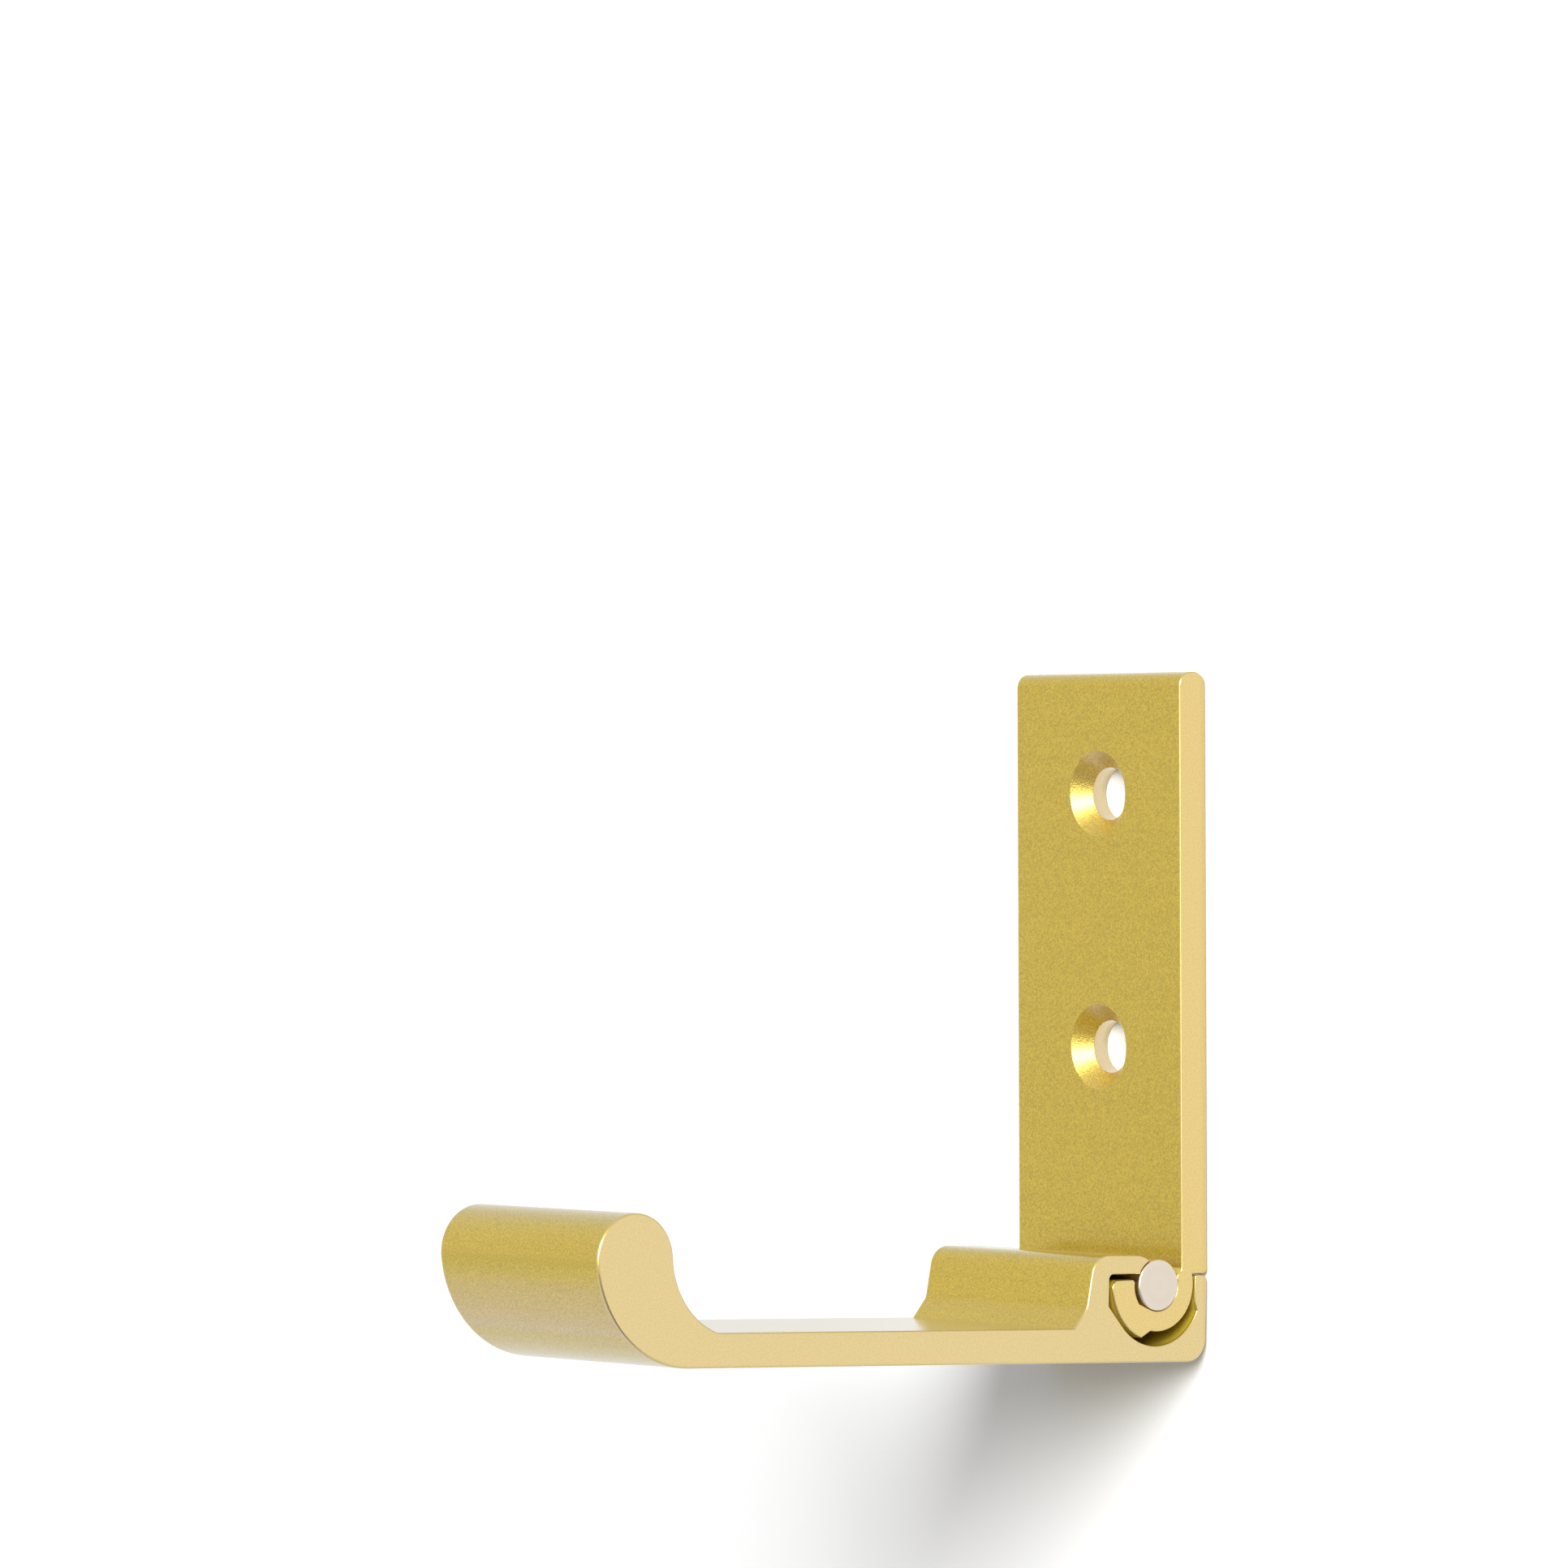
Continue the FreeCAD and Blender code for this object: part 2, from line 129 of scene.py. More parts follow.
def anodised_aluminium(
    surface, colour, roughness, sparkle, grain_depth,
    drawn_lines=0.0, metal=1.0, coat_ior=1.5, coat_roughness=0.12,
):
    """Gold dyed oxide on aluminium. The metal under the dye gives the saturated gold, the clear
    oxide over it (a coat) turns the colour pale where it is seen along the surface, and the fine
    etched grain glitters a little. Drawn faces also have faint lines along the bar."""
    material, tree, place = new_material("anodised_aluminium_" + surface)
    grain = add(tree, "ShaderNodeTexNoise", {"Vector": place, "Scale": 1 / GRAIN, "Detail": GRAIN_DETAIL})
    speck = add(tree, "ShaderNodeMapRange", {
        "Value": grain, "From Min": NOISE_LOW, "From Max": SPECK_HIGH,
        "To Min": 1 - sparkle, "To Max": 1 + sparkle,
    })
    along = add(tree, "ShaderNodeMapping", {"Vector": place, "Scale": (1 / LINE_STRETCH, 1.0, 1.0)})
    lines = add(tree, "ShaderNodeTexNoise", {
        "Vector": along, "Scale": 1 / LINE_SPACING, "Detail": LINE_DETAIL,
    })
    line_shade = add(tree, "ShaderNodeMapRange", {
        "Value": lines, "From Min": NOISE_LOW, "From Max": NOISE_HIGH,
        "To Min": 1 - drawn_lines, "To Max": 1 + drawn_lines,
    })
    shade = add(tree, "ShaderNodeMath", {0: speck, 1: line_shade}, operation="MULTIPLY")
    tint = add(tree, "ShaderNodeVectorMath", {0: linear(colour)[:3], "Scale": shade}, operation="SCALE")
    rough = add(tree, "ShaderNodeMapRange", {
        "Value": grain, "From Min": NOISE_LOW, "From Max": NOISE_HIGH,
        "To Min": roughness + ROUGHER, "To Max": roughness - ROUGHER,
    })
    bump = add(tree, "ShaderNodeBump", {"Height": grain, "Strength": 1.0, "Distance": grain_depth})
    shader = add(tree, "ShaderNodeBsdfPrincipled", {
        "Base Color": tint, "Metallic": metal, "Roughness": rough, "Normal": bump,
        "Coat Weight": 1.0, "Coat Roughness": coat_roughness, "Coat IOR": coat_ior,
    })
    add(tree, "ShaderNodeOutputMaterial", {"Surface": shader})
    return material


STEEL_COLOUR = "#E6DACB"
STEEL_ROUGHNESS = 0.3
RING_DARK = 0.985
RING_PALE = 1.01
RING_DEPTH = 0.004 * MM
RING_STRENGTH = 0.3
RING_WANDER = 0.6
# A ring texture of scale 1 has this many rings in a metre
RINGS_PER_METRE = 20


def turned_steel():
    """Plain free-cutting steel, turned: a pale, slightly warm metal with very fine rings."""
    material, tree, place = new_material("turned_steel")
    centred = add(tree, "ShaderNodeMapping", {"Vector": place, "Location": -PIN_CENTRE})
    rings = add(
        tree, "ShaderNodeTexWave",
        {
            "Vector": centred, "Scale": 1 / RING_SPACING / RINGS_PER_METRE,
            "Distortion": RING_WANDER, "Detail": 1.0,
        },
        wave_type="RINGS", rings_direction="X",
    ).outputs["Fac"]
    shade = add(tree, "ShaderNodeMapRange", {"Value": rings, "To Min": RING_DARK, "To Max": RING_PALE})
    tint = add(
        tree, "ShaderNodeVectorMath", {0: linear(STEEL_COLOUR)[:3], "Scale": shade}, operation="SCALE",
    )
    bump = add(tree, "ShaderNodeBump", {"Height": rings, "Strength": RING_STRENGTH, "Distance": RING_DEPTH})
    shader = add(tree, "ShaderNodeBsdfPrincipled", {
        "Base Color": tint, "Metallic": 1.0, "Roughness": STEEL_ROUGHNESS, "Normal": bump,
    })
    add(tree, "ShaderNodeOutputMaterial", {"Surface": shader})
    return material


# Each finish has a colour, a roughness, how much its grain glitters and how deep the grain is.
# Drawn faces: full gold, with the etched grain and the die's lines
DRAWN = anodised_aluminium("drawn", "#C7AF39", 0.32, 0.24, 0.008 * MM, drawn_lines=0.02)
# Broken edges: a paler gold and a stronger coat than the drawn faces, a painted highlight that makes the thin line
# of light they catch look cream
EDGE = anodised_aluminium("edge", "#CDB45C", 0.34, 0.08, 0.004 * MM, coat_ior=2.1)
# Inside the hinge: dull, so that the hollow keeps an even deep gold
INNER = anodised_aluminium("inner", "#CBB235", 0.62, 0.04, 0.003 * MM, metal=0.3)
# Sawn ends: fine cut and paler, with hardly any grain, and a little deeper gold on the plate
SAWN_ARM = anodised_aluminium("sawn_arm", "#E6CE8F", 0.38, 0.07, 0.003 * MM)
SAWN_PLATE = anodised_aluminium("sawn_plate", "#E9CE81", 0.38, 0.07, 0.003 * MM)
# Countersinks: cut rough, so the lamp's light breaks up into grains on them
COUNTERSUNK = anodised_aluminium(
    "countersunk", "#CDB44A", 0.44, 0.3, 0.045 * MM, coat_ior=1.65, coat_roughness=0.32,
)
# Bores: thinly dyed, so pale
DRILLED = anodised_aluminium("drilled", "#E6D2A4", 0.40, 0.05, 0.004 * MM)
STEEL = turned_steel()


# Geometry Nodes

# How far a face of the swept section must turn to the side to be a broken edge, and to be sawn
EDGE_FACING = 0.1
SAWN_FACING = 0.97
# All corners of a face inside the hinge carry 1, so only such faces are above this
ALL_IN_HINGE = 0.99


def geometry_tree(name, sockets):
    """A tree with a Geometry input and output and the named inputs: {name: kind}."""
    tree = bpy.data.node_groups.new(name, "GeometryNodeTree")
    tree.interface.new_socket("Geometry", in_out="INPUT", socket_type="NodeSocketGeometry")
    tree.interface.new_socket("Geometry", in_out="OUTPUT", socket_type="NodeSocketGeometry")
    for label, kind in sockets.items():
        tree.interface.new_socket(label, in_out="INPUT", socket_type="NodeSocket" + kind)
    return tree, add(tree, "NodeGroupInput").outputs


def drawn_section_tree():
    """A closed section swept along X, whose two sawn ends curve in by the inset of each point."""
    tree, given = geometry_tree("drawn_section", {
        "Half width": "Float", "Steps": "Int",
        "Drawn": "Material", "Inner": "Material", "Edge": "Material", "Sawn": "Material",
    })
    outline = add(
        tree, "GeometryNodeStoreNamedAttribute",
        {"Geometry": given["Geometry"], "Name": "section", "Value": add(tree, "GeometryNodeInputPosition")},
        data_type="FLOAT_VECTOR", domain="POINT",
    )
    profile = add(tree, "GeometryNodeMeshToCurve", {"Mesh": outline})

    # The rail has one point per ring of the swept piece: the steps of both edges and their ends
    last = add(tree, "ShaderNodeMath", {0: given["Steps"], 1: 2.0, 2: 1.0}, operation="MULTIPLY_ADD")
    line = add(tree, "GeometryNodeCurvePrimitiveLine", {"Start": (0, 0, 0), "End": (1, 0, 0)})
    count = add(tree, "ShaderNodeMath", {0: last, 1: 1.0}, operation="ADD")
    rail = add(tree, "GeometryNodeResampleCurve", {"Curve": line, "Count": count}, mode="COUNT")
    rail = add(
        tree, "GeometryNodeStoreNamedAttribute",
        {"Geometry": rail, "Name": "ring", "Value": add(tree, "GeometryNodeInputIndex")},
        data_type="FLOAT", domain="POINT",
    )
    swept = add(tree, "GeometryNodeCurveToMesh", {
        "Curve": rail, "Profile Curve": profile, "Fill Caps": True,
    })

    # Each ring's share of the quarter turn that takes the edge from the drawn to the sawn face
    ring = add(tree, "GeometryNodeInputNamedAttribute", {"Name": "ring"}, data_type="FLOAT")
    to_last = add(tree, "ShaderNodeMath", {0: last, 1: ring}, operation="SUBTRACT")
    from_end = add(tree, "ShaderNodeMath", {0: ring, 1: to_last}, operation="MINIMUM")
    side = add(tree, "ShaderNodeMath", {0: ring, 1: to_last}, operation="SUBTRACT")
    side = add(tree, "ShaderNodeMath", {0: side}, operation="SIGN")
    turn = add(tree, "ShaderNodeMath", {0: from_end, 1: given["Steps"]}, operation="DIVIDE")
    angle = add(
        tree, "ShaderNodeMath", {0: turn, 1: -math.pi / 2, 2: math.pi / 2}, operation="MULTIPLY_ADD",
    )
    sine = add(tree, "ShaderNodeMath", {0: angle}, operation="SINE")
    cosine = add(tree, "ShaderNodeMath", {0: angle}, operation="COSINE")

    # Across by the half width less what the edge round still takes, and in by its inset
    edge_round = add(tree, "GeometryNodeInputNamedAttribute", {"Name": "edge_round"}, data_type="FLOAT")
    flat = add(tree, "ShaderNodeMath", {0: given["Half width"], 1: edge_round}, operation="SUBTRACT")
    out = add(tree, "ShaderNodeMath", {0: sine, 1: edge_round, 2: flat}, operation="MULTIPLY_ADD")
    out = add(tree, "ShaderNodeMath", {0: out, 1: side}, operation="MULTIPLY")
    across = add(tree, "ShaderNodeCombineXYZ", {"X": out})
    share = add(tree, "ShaderNodeMath", {0: 1.0, 1: cosine}, operation="SUBTRACT")
    inset = add(tree, "GeometryNodeInputNamedAttribute", {"Name": "inset"}, data_type="FLOAT_VECTOR")
    inward = add(tree, "ShaderNodeVectorMath", {0: inset, "Scale": share}, operation="SCALE")
    section = add(tree, "GeometryNodeInputNamedAttribute", {"Name": "section"}, data_type="FLOAT_VECTOR")
    place = add(tree, "ShaderNodeVectorMath", {0: section, 1: inward}, operation="ADD")
    place = add(tree, "ShaderNodeVectorMath", {0: place, 1: across}, operation="ADD")
    shaped = add(tree, "GeometryNodeSetPosition", {"Geometry": swept, "Position": place})

    # Finishes: inside the hinge, then the broken edges with their paler gold, a painted highlight, then the flat
    # sawn faces
    drawn = add(tree, "GeometryNodeSetMaterial", {"Geometry": shaped, "Material": given["Drawn"]})
    in_hinge = add(tree, "GeometryNodeInputNamedAttribute", {"Name": "in_hinge"}, data_type="FLOAT")
    hidden = add(tree, "ShaderNodeMath", {0: in_hinge, 1: ALL_IN_HINGE}, operation="GREATER_THAN")
    inner = add(tree, "GeometryNodeSetMaterial", {
        "Geometry": drawn, "Selection": hidden, "Material": given["Inner"],
    })
    normal = add(tree, "ShaderNodeSeparateXYZ", {0: add(tree, "GeometryNodeInputNormal")})
    facing = add(tree, "ShaderNodeMath", {0: normal}, operation="ABSOLUTE")
    tilted = add(tree, "ShaderNodeMath", {0: facing, 1: EDGE_FACING}, operation="GREATER_THAN")
    edge = add(tree, "GeometryNodeSetMaterial", {
        "Geometry": inner, "Selection": tilted, "Material": given["Edge"],
    })
    square = add(tree, "ShaderNodeMath", {0: facing, 1: SAWN_FACING}, operation="GREATER_THAN")
    sawn = add(tree, "GeometryNodeSetMaterial", {
        "Geometry": edge, "Selection": square, "Material": given["Sawn"],
    })
    add(tree, "NodeGroupOutput", {0: add(tree, "GeometryNodeRealizeInstances", {"Geometry": sawn})})
    return tree


def turned_piece_tree():
    """A half section, given as radius along X and height along Z, turned about the X axis."""
    tree, given = geometry_tree("turned_piece", {
        "Sides": "Int", "Finish": "Material", "Bore radius": "Float", "Bore finish": "Material",
    })
    position = add(tree, "GeometryNodeInputPosition")
    half = add(
        tree, "GeometryNodeStoreNamedAttribute",
        {"Geometry": given["Geometry"], "Name": "half", "Value": position},
        data_type="FLOAT_VECTOR", domain="POINT",
    )
    profile = add(tree, "GeometryNodeMeshToCurve", {"Mesh": half})
    circle = add(tree, "GeometryNodeCurvePrimitiveCircle", {"Resolution": given["Sides"]})
    circle = add(
        tree, "GeometryNodeStoreNamedAttribute",
        {"Geometry": circle, "Name": "side", "Value": add(tree, "GeometryNodeInputIndex")},
        data_type="FLOAT", domain="POINT",
    )
    swept = add(tree, "GeometryNodeCurveToMesh", {"Curve": circle, "Profile Curve": profile})
    side = add(tree, "GeometryNodeInputNamedAttribute", {"Name": "side"}, data_type="FLOAT")
    turn = add(tree, "ShaderNodeMath", {0: side, 1: given["Sides"]}, operation="DIVIDE")
    angle = add(tree, "ShaderNodeMath", {0: turn, 1: 2 * math.pi}, operation="MULTIPLY")
    sine = add(tree, "ShaderNodeMath", {0: angle}, operation="SINE")
    cosine = add(tree, "ShaderNodeMath", {0: angle}, operation="COSINE")
    kept = add(tree, "GeometryNodeInputNamedAttribute", {"Name": "half"}, data_type="FLOAT_VECTOR")
    part = add(tree, "ShaderNodeSeparateXYZ", {0: kept}).outputs
    place = add(tree, "ShaderNodeCombineXYZ", {
        "X": part["Z"],
        "Y": add(tree, "ShaderNodeMath", {0: part["X"], 1: cosine}, operation="MULTIPLY"),
        "Z": add(tree, "ShaderNodeMath", {0: part["X"], 1: sine}, operation="MULTIPLY"),
    })
    shaped = add(tree, "GeometryNodeSetPosition", {"Geometry": swept, "Position": place})
    closed = add(tree, "GeometryNodeMergeByDistance", {"Geometry": shaped, "Distance": WELD})
    outer = add(tree, "GeometryNodeSetMaterial", {"Geometry": closed, "Material": given["Finish"]})
    reach = add(tree, "ShaderNodeVectorMath", {0: position, 1: (0, 1, 1)}, operation="MULTIPLY")
    reach = add(tree, "ShaderNodeVectorMath", {0: reach}, operation="LENGTH").outputs["Value"]
    bore = add(tree, "ShaderNodeMath", {0: reach, 1: given["Bore radius"]}, operation="LESS_THAN")
    inner = add(tree, "GeometryNodeSetMaterial", {
        "Geometry": outer, "Selection": bore, "Material": given["Bore finish"],
    })
    add(tree, "NodeGroupOutput", {0: add(tree, "GeometryNodeRealizeInstances", {"Geometry": inner})})
    return tree


def drilled_holes_tree():
    """A row of like holes, cut by one cutter that is repeated along Z."""
    tree, given = geometry_tree("drilled_holes", {
        "Cutter": "Object", "First": "Vector", "Spacing": "Float", "Count": "Int",
    })
    cutter = add(tree, "GeometryNodeObjectInfo", {"Object": given["Cutter"]}).outputs["Geometry"]
    row = add(tree, "GeometryNodeMeshLine", {
        "Count": given["Count"], "Start Location": given["First"],
        "Offset": add(tree, "ShaderNodeCombineXYZ", {"Z": given["Spacing"]}),
    })
    cutters = add(tree, "GeometryNodeInstanceOnPoints", {"Points": row, "Instance": cutter})
    solid = add(tree, "GeometryNodeRealizeInstances", {"Geometry": cutters})
    cut = add(
        tree, "GeometryNodeMeshBoolean", {"Mesh 1": given["Geometry"], "Mesh 2": solid},
        operation="DIFFERENCE", solver="EXACT",
    )
    add(tree, "NodeGroupOutput", {0: add(tree, "GeometryNodeRealizeInstances", {"Geometry": cut})})
    return tree


def run_tree(piece, tree, values):
    """Run a tree on a piece with its inputs set, and keep the result as the piece's plain mesh."""
    modifier = piece.modifiers.new(tree.name, "NODES")
    modifier.node_group = tree
    for item in tree.interface.items_tree:
        if item.in_out == "INPUT" and item.name in values:
            modifier[item.identifier] = values[item.name]
    piece.update_tag()
    keep_result(piece)


def keep_result(piece):
    bpy.context.view_layer.update()
    result = bpy.data.meshes.new_from_object(piece.evaluated_get(bpy.context.evaluated_depsgraph_get()))
    piece.modifiers.clear()
    piece.data = result


def new_piece(name, mesh):
    piece = bpy.data.objects.new(name, mesh)
    bpy.context.scene.collection.objects.link(piece)
    return piece


# Faces that meet at less than this belong to one round
SMOOTH_ANGLE = math.radians(33)


def smooth_rounds(piece):
    """Outward faces, smooth over rounds and crisp at corners, with flats kept flat."""
    shape = bmesh.new()
    shape.from_mesh(piece.data)
    bmesh.ops.remove_doubles(shape, verts=shape.verts, dist=WELD)
    bmesh.ops.dissolve_degenerate(shape, edges=shape.edges, dist=WELD)
    bmesh.ops.recalc_face_normals(shape, faces=shape.faces)
    for face in shape.faces:
        face.smooth = True
    for edge in shape.edges:
        edge.smooth = len(edge.link_faces) == 2 and edge.calc_face_angle(0) < SMOOTH_ANGLE
    shape.to_mesh(piece.data)
    shape.free()
    weighted = piece.modifiers.new("flats", "WEIGHTED_NORMAL")
    weighted.keep_sharp = True
    keep_result(piece)
    for name in ("section", "inset", "edge_round", "in_hinge", "ring", "half", "side"):
        if name in piece.data.attributes:
            piece.data.attributes.remove(piece.data.attributes[name])


# Sections read from the frame

def inset_corners(points, distances):
    """Where each corner of a closed outline moves to when its sides move in by its distance."""
    count = len(points)
    turn = sum(points[i - 1].y * points[i].z - points[i - 1].z * points[i].y for i in range(count))
    inward = Matrix.Rotation(math.copysign(math.pi / 2, turn), 3, "X")
    sides = [(points[(i + 1) % count] - points[i]).normalized() for i in range(count)]
    moved = []
    for i, point in enumerate(points):
        before, after = inward @ sides[i - 1], inward @ sides[i]
        moved.append(point + (before + after) * distances[i] / (1 + before.dot(after)))
    # Where a short side would turn over, its two corners meet halfway
    for i, side in enumerate(sides):
        following = (i + 1) % count
        if (moved[following] - moved[i]).dot(side) < 0:
            moved[i] = moved[following] = (moved[i] + moved[following]) / 2
    return moved


# Faces this near the pin, and no higher above it, are inside the hinge
HINGE_REACH = 6.6 * MM
HINGE_RISE = 2.5 * MM
# From this far in front of the pin the broken edge grows to the nose's
NOSE_START = 50 * MM
NOSE_BLEND = 6 * MM
NOSE_EDGE = 0.3 * MM


def section_of(node):
    """A sawn piece's outline as an edge-only mesh. Each point carries the size of its broken edge,
    the inset that leads it to the flat of the sawn face, and whether it lies inside the hinge."""
    shape = bmesh.new()
    shape.from_mesh(frame["nodes"][node].data)
    bmesh.ops.remove_doubles(shape, verts=shape.verts, dist=WELD)
    # The outline is the ring of points just inside the sawn face, where its broken edge starts
    sawn = max(v.co.x for v in shape.verts)
    levels = Counter(round(v.co.x / WELD) for v in shape.verts if HOLE_REACH < v.co.x < sawn - WELD)
    rim = levels.most_common(1)[0][0]
    on_rim = {v for v in shape.verts if round(v.co.x / WELD) == rim}
    vertex = min(on_rim, key=lambda v: v.index)
    points = []
    while vertex:
        on_rim.discard(vertex)
        points.append(Vector((0, vertex.co.y, vertex.co.z)))
        around = (edge.other_vert(vertex) for edge in vertex.link_edges)
        vertex = next((other for other in around if other in on_rim), None)
    shape.free()
    edge = sawn - rim * WELD
    from_pin = [point - Vector((0, PIN_CENTRE.y, PIN_CENTRE.z)) for point in points]
    soft = [min(max((-place.y - NOSE_START) / NOSE_BLEND, 0), 1) for place in from_pin]
    rounds = [edge + (NOSE_EDGE - edge) * share for share in soft]
    count = len(points)
    mesh = bpy.data.meshes.new(node + "_section")
    mesh.from_pydata(points, [(i, (i + 1) % count) for i in range(count)], [])
    inset = mesh.attributes.new("inset", "FLOAT_VECTOR", "POINT")
    inset.data.foreach_set(
        "vector", [c for new, old in zip(inset_corners(points, rounds), points) for c in new - old],
    )
    mesh.attributes.new("edge_round", "FLOAT", "POINT").data.foreach_set("value", rounds)
    in_hinge = mesh.attributes.new("in_hinge", "FLOAT", "POINT")
    in_hinge.data.foreach_set(
        "value", [float(place.length < HINGE_REACH and place.z < HINGE_RISE) for place in from_pin],
    )
    return mesh


# Steps of each rounded edge, and sides of each turned piece
EDGE_STEPS = 4
SIDES = 96


def drawn_piece(name, node, sawn):
    piece = new_piece(name, section_of(node))
    run_tree(piece, DRAWN_SECTION, {
        "Half width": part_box(node)[1].x, "Steps": EDGE_STEPS,
        "Drawn": DRAWN, "Inner": INNER, "Edge": EDGE, "Sawn": sawn,
    })
    return piece


def rounded_line(corners, steps):
    """Points of a line whose corners, given as (radius, height, round), are rounded over."""
    points = []
    for i, (x, z, size) in enumerate(corners):
        here = Vector((x, z))
        if not size:
            points.append(here)
            continue
        back = (Vector(corners[i - 1][:2]) - here).normalized()
        ahead = (Vector(corners[i + 1][:2]) - here).normalized()
        half = back.angle(ahead) / 2
        centre = here + (back + ahead).normalized() * size / math.sin(half)
        start = here + back * size / math.tan(half) - centre
        sweep = math.pi - 2 * half
        if start.x * (here - centre).y - start.y * (here - centre).x < 0:
            sweep = -sweep
        for step in range(steps + 1):
            turned = Matrix.Rotation(sweep * step / steps, 2) @ start
            points.append(centre + turned)
    return [Vector((p.x, 0, p.y)) for p in points]


def half_section(name, corners, steps):
    points = rounded_line(corners, steps)
    mesh = bpy.data.meshes.new(name)
    mesh.from_pydata(points, [(i, i + 1) for i in range(len(points) - 1)], [])
    return new_piece(name, mesh)


DRAWN_SECTION = drawn_section_tree()
TURNED_PIECE = turned_piece_tree()
DRILLED_HOLES = drilled_holes_tree()

# Pieces

arm = drawn_piece("hook_arm_finish", "hook_arm", SAWN_ARM)
smooth_rounds(arm)

plate = drawn_piece("wall_plate_finish", "wall_plate", SAWN_PLATE)

# Countersunk screw holes, cut by one turned cutter that starts and ends beyond the plate, and
# whose rim stands a little clear of the countersink's
BORE_ROUND = 0.08 * MM
BEYOND = 1.0 * MM
CLEAR = 0.06 * MM
cone_depth = COUNTERSINK_RADIUS - HOLE_RADIUS
cutter = half_section("hole_cutter", [
    (0, BEYOND, 0),
    (COUNTERSINK_RADIUS + CLEAR, BEYOND, 0),
    (COUNTERSINK_RADIUS + CLEAR, WELD / 2, 0),
    (COUNTERSINK_RADIUS, 0, 0),
    (HOLE_RADIUS, -cone_depth, BORE_ROUND),
    (HOLE_RADIUS, PLATE_FRONT - BEYOND, 0),
    (0, PLATE_FRONT - BEYOND, 0),
], EDGE_STEPS)
run_tree(cutter, TURNED_PIECE, {
    "Sides": SIDES, "Finish": COUNTERSUNK, "Bore radius": HOLE_RADIUS + 2 * WELD, "Bore finish": DRILLED,
})
cutter.data.transform(Matrix.Rotation(math.radians(-90), 4, "Z"))
shape = bmesh.new()
shape.from_mesh(cutter.data)
bmesh.ops.recalc_face_normals(shape, faces=shape.faces)
shape.to_mesh(cutter.data)
shape.free()
run_tree(plate, DRILLED_HOLES, {
    "Cutter": cutter, "First": lowest_hole + Vector((0, PLATE_FRONT, 0)),
    "Spacing": HOLE_SPACING, "Count": HOLE_COUNT,
})
bpy.data.objects.remove(cutter)
smooth_rounds(plate)

# Pin, with its ends turned flat and their edges rounded over
pin_low, pin_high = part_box("hinge_pin")
PIN_RADIUS = (pin_high.y - pin_low.y) / 2
PIN_EDGE = 0.2 * MM
pin = half_section("hinge_pin_finish", [
    (0, pin_low.x, 0),
    (PIN_RADIUS, pin_low.x, PIN_EDGE),
    (PIN_RADIUS, pin_high.x, PIN_EDGE),
    (0, pin_high.x, 0),
], EDGE_STEPS)
run_tree(pin, TURNED_PIECE, {"Sides": SIDES, "Finish": STEEL, "Bore radius": 0.0, "Bore finish": STEEL})
pin.data.transform(Matrix.Translation((0, PIN_CENTRE.y, PIN_CENTRE.z)))
smooth_rounds(pin)

for piece, node, body, slot in (
    (arm, "hook_arm", "arm", "gold_section"),
    (plate, "wall_plate", "mounting", "gold_section"),
    (pin, "hinge_pin", "mounting", "pin_steel"),
):
    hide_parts(node)
    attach(piece, body)

# Stage: a white wall, which shows nothing from behind, and a plain pale floor far below

WALL_GAP = 0.1 * MM
STAGE_SIZE = 2.5
FLOOR_DROP = 0.7
WHITE = linear("#FFFFFF")
WALL_WHITE = "#FAFAFA"
# How far from the middle the wall keeps the shadow, and over what length it turns plain white
SHADOW_REACH = 0.25
SHADOW_FADE = 0.15
# Rays that have come less far than this start at the plate's back
TOUCHING = 1.0 * MM
# What the metal sees of the wall: a little shaded up to a place on the left of the hook
LEFT_SHADE = 0.9
LEFT_EDGE = -0.05
# What the metal sees of the floor: cool near the hook and neutral far out, light on the left and
# shaded on the right
COOL_WHITE = "#D3D3FF"
FAR_GREY = "#D3D3D3"
COOL_REACH = 1.7
COOL_FADE = 0.7
COOL_LEVEL = 1.5
RIGHT_SHADE = 0.4
RIGHT_EDGE = 0.5
# What the camera sees of the floor, and the level of the even light
FLOOR_TONE = 0.8
AMBIENT = 0.44
# A ray that has met no matt surface has a diffuse depth below this
FIRST_BOUNCE = 0.5


def from_metal(tree):
    """1 for rays that the metal sends straight to the camera, and 0 for all others."""
    path = add(tree, "ShaderNodeLightPath").outputs
    direct = add(tree, "ShaderNodeMath", {0: path["Diffuse Depth"], 1: FIRST_BOUNCE}, operation="LESS_THAN")
    through = path["Is Transmission Ray"]
    glossy = add(tree, "ShaderNodeMath", {0: path["Is Glossy Ray"], 1: through}, operation="MAXIMUM")
    return add(tree, "ShaderNodeMath", {0: glossy, 1: direct}, operation="MULTIPLY")


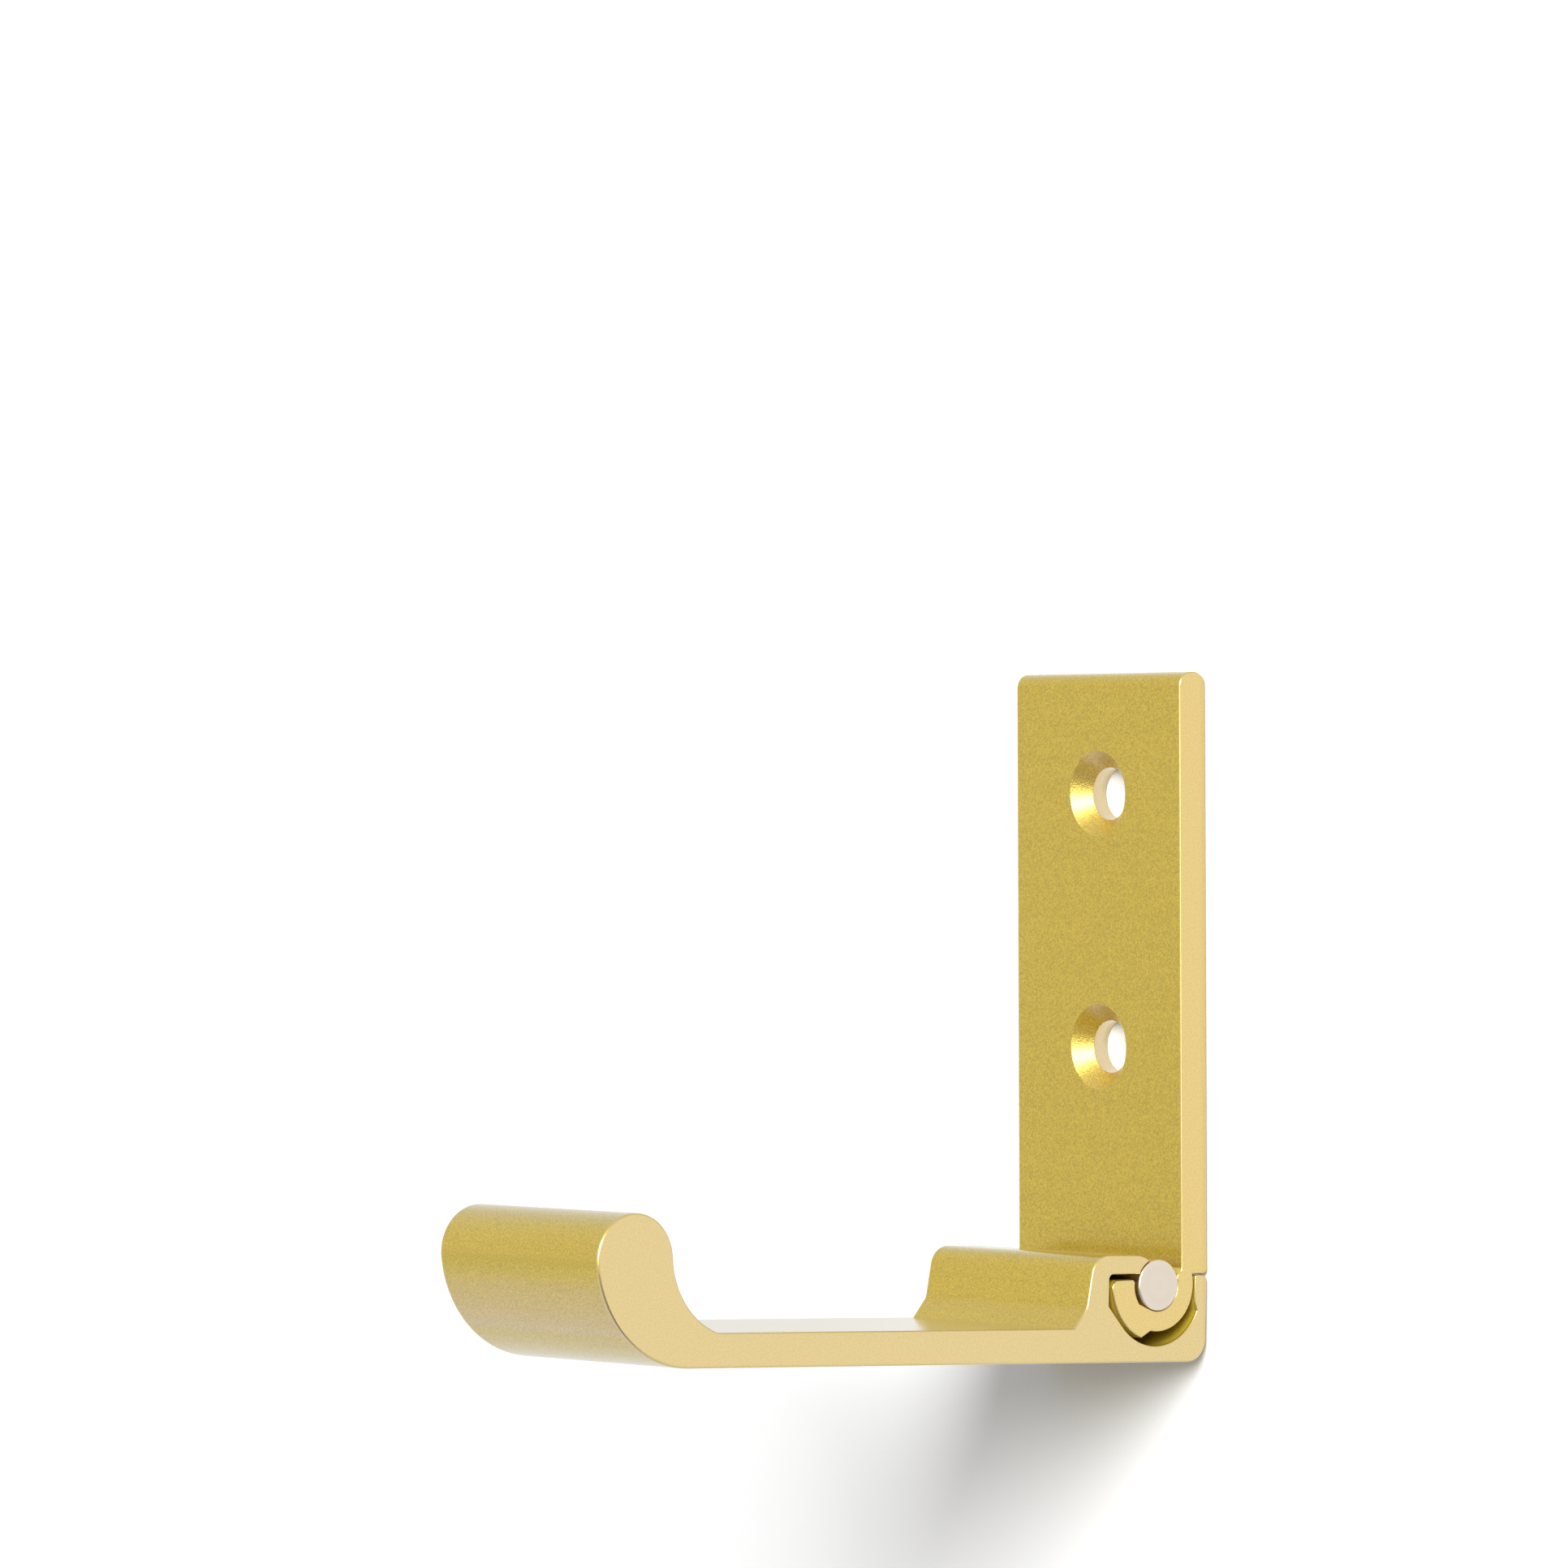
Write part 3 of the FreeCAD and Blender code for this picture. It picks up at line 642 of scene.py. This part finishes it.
def wall_paint():
    """Matt white paint. It keeps the hook's shadow near it and is plain white further out. The metal
    sees it white on the right and a little shaded on the left, where the hook's shadow falls."""
    material, tree, place = new_material("wall_paint")
    paint = add(tree, "ShaderNodeBsdfDiffuse", {"Color": linear(WALL_WHITE)})
    white = add(tree, "ShaderNodeEmission", {"Color": WHITE, "Strength": 1.0})
    across = add(tree, "ShaderNodeSeparateXYZ", {0: place})
    shaded = add(tree, "ShaderNodeMapRange", {
        "Value": across, "From Min": LEFT_EDGE, "From Max": 0.0, "To Min": LEFT_SHADE, "To Max": 1.0,
    })
    shine = add(tree, "ShaderNodeEmission", {"Color": WHITE, "Strength": shaded})
    distance = add(tree, "ShaderNodeVectorMath", {0: place}, operation="LENGTH").outputs["Value"]
    far = add(tree, "ShaderNodeMapRange", {
        "Value": distance, "From Min": SHADOW_REACH, "From Max": SHADOW_REACH + SHADOW_FADE,
    }, interpolation_type="SMOOTHSTEP")
    path = add(tree, "ShaderNodeLightPath").outputs
    backdrop = add(tree, "ShaderNodeMath", {0: path["Is Camera Ray"], 1: far}, operation="MULTIPLY")
    seen = add(tree, "ShaderNodeMixShader", {0: backdrop, 1: paint, 2: white})
    front = add(tree, "ShaderNodeMixShader", {0: from_metal(tree), 1: seen, 2: shine})
    # Clear from behind, and for the plate's back, which lies on it
    behind = add(tree, "ShaderNodeNewGeometry").outputs["Backfacing"]
    touching = add(tree, "ShaderNodeMath", {0: path["Ray Length"], 1: TOUCHING}, operation="LESS_THAN")
    hidden = add(tree, "ShaderNodeMath", {0: behind, 1: touching}, operation="MAXIMUM")
    clear = add(tree, "ShaderNodeBsdfTransparent")
    add(tree, "ShaderNodeOutputMaterial", {
        "Surface": add(tree, "ShaderNodeMixShader", {0: hidden, 1: front, 2: clear}),
    })
    return material


def floor_paint():
    """Plain pale paint. The metal sees it as light as white on the left and shaded on the right,
    with a cool cast near the hook that fades out."""
    material, tree, place = new_material("floor_paint")
    across = add(tree, "ShaderNodeSeparateXYZ", {0: place})
    shaded = add(tree, "ShaderNodeMapRange", {
        "Value": across, "From Max": RIGHT_EDGE, "To Min": COOL_LEVEL, "To Max": RIGHT_SHADE,
    })
    near = add(tree, "ShaderNodeEmission", {"Color": linear(COOL_WHITE), "Strength": shaded})
    far = add(tree, "ShaderNodeEmission", {"Color": linear(FAR_GREY), "Strength": shaded})
    distance = add(tree, "ShaderNodeVectorMath", {0: place}, operation="LENGTH").outputs["Value"]
    fade = add(tree, "ShaderNodeMapRange", {
        "Value": distance, "From Min": COOL_REACH, "From Max": COOL_REACH + COOL_FADE,
    })
    shine = add(tree, "ShaderNodeMixShader", {0: fade, 1: near, 2: far})
    soft = add(tree, "ShaderNodeEmission", {"Color": WHITE, "Strength": AMBIENT})
    pale = add(tree, "ShaderNodeEmission", {"Color": WHITE, "Strength": FLOOR_TONE})
    camera_ray = add(tree, "ShaderNodeLightPath").outputs["Is Camera Ray"]
    lit = add(tree, "ShaderNodeMixShader", {0: camera_ray, 1: soft, 2: pale})
    seen = add(tree, "ShaderNodeMixShader", {0: from_metal(tree), 1: lit, 2: shine})
    add(tree, "ShaderNodeOutputMaterial", {"Surface": seen})
    return material


def stage_plane(name, corners, material):
    mesh = bpy.data.meshes.new(name)
    mesh.from_pydata(corners, [], [range(len(corners))])
    mesh.materials.append(material)
    new_piece(name, mesh)


stage_plane("wall", [
    (-STAGE_SIZE, WALL_GAP, -FLOOR_DROP), (STAGE_SIZE, WALL_GAP, -FLOOR_DROP),
    (STAGE_SIZE, WALL_GAP, STAGE_SIZE), (-STAGE_SIZE, WALL_GAP, STAGE_SIZE),
], wall_paint())
stage_plane("floor", [
    (-STAGE_SIZE, -STAGE_SIZE, -FLOOR_DROP), (STAGE_SIZE, -STAGE_SIZE, -FLOOR_DROP),
    (STAGE_SIZE, WALL_GAP, -FLOOR_DROP), (-STAGE_SIZE, WALL_GAP, -FLOOR_DROP),
], floor_paint())

# World: soft even light. The camera sees it white, and pale as the floor further down, and the
# metal sees a slightly warm room.

ROOM = "#FFFAF3"
ROOM_FOOT = 0.8
# Heights in the sky, from -1 straight down over 0 at eye level to 1 straight up
ROOM_LOW = -0.3
FLOOR_END = -0.2
WHITE_START = -0.14
world = bpy.data.worlds.new("studio")
bpy.context.scene.world = world
world.use_nodes = True
world.cycles.sampling_method = "NONE"
sky = world.node_tree
sky.nodes.clear()
direction = add(sky, "ShaderNodeTexCoord").outputs["Generated"]
height = add(sky, "ShaderNodeSeparateXYZ", {0: direction}).outputs["Z"]
room_level = add(sky, "ShaderNodeMapRange", {
    "Value": height, "From Min": ROOM_LOW, "From Max": 0.0, "To Min": ROOM_FOOT, "To Max": 1.0,
})
soft_light = add(sky, "ShaderNodeBackground", {"Color": WHITE, "Strength": AMBIENT})
room = add(sky, "ShaderNodeBackground", {"Color": linear(ROOM), "Strength": room_level})
backdrop = add(sky, "ShaderNodeMapRange", {
    "Value": height, "From Min": FLOOR_END, "From Max": WHITE_START, "To Min": FLOOR_TONE, "To Max": 1.0,
}, interpolation_type="SMOOTHSTEP")
white = add(sky, "ShaderNodeBackground", {"Color": WHITE, "Strength": backdrop})
lit = add(sky, "ShaderNodeMixShader", {0: from_metal(sky), 1: soft_light, 2: room})
camera_ray = add(sky, "ShaderNodeLightPath").outputs["Is Camera Ray"]
add(sky, "ShaderNodeOutputWorld", {
    "Surface": add(sky, "ShaderNodeMixShader", {0: camera_ray, 1: lit, 2: white}),
})

# One large soft lamp, above and to the right of the hook, so that shadows fall down to the left

KEY_AIM = Vector((0.583, -0.726, 0.365)).normalized()
KEY_DISTANCE = 3.0
KEY_SIZE = 1.74
KEY_POWER = 104.0
key_data = bpy.data.lights.new("key", "AREA")
key_data.shape = "DISK"
key_data.size = KEY_SIZE
key_data.energy = KEY_POWER
key = new_piece("key", key_data)
key.location = PIN_CENTRE + KEY_AIM * KEY_DISTANCE
key.rotation_euler = KEY_AIM.to_track_quat("Z", "Y").to_euler()

# Camera: a long lens almost level with the pin, 52 degrees round from the front

CAMERA_FROM_PIN = Vector((0.66605, -0.55809, 0.04853))
CAMERA_AZIMUTH = math.radians(51.924)
CAMERA_RISE = math.radians(0.030)
CAMERA_ROLL = math.radians(-0.227)
CAMERA_LENS = 202.3
NEAREST_SEEN = 0.01
camera_data = bpy.data.cameras.new("camera")
camera_data.lens = CAMERA_LENS
camera_data.clip_start = NEAREST_SEEN
camera = new_piece("camera", camera_data)
camera.location = PIN_CENTRE + CAMERA_FROM_PIN
level = Euler((math.radians(90) + CAMERA_RISE, 0, CAMERA_AZIMUTH)).to_matrix()
camera.rotation_euler = (level @ Matrix.Rotation(CAMERA_ROLL, 3, "Z")).to_euler()
bpy.context.scene.camera = camera

bpy.context.scene.view_settings.view_transform = "Standard"
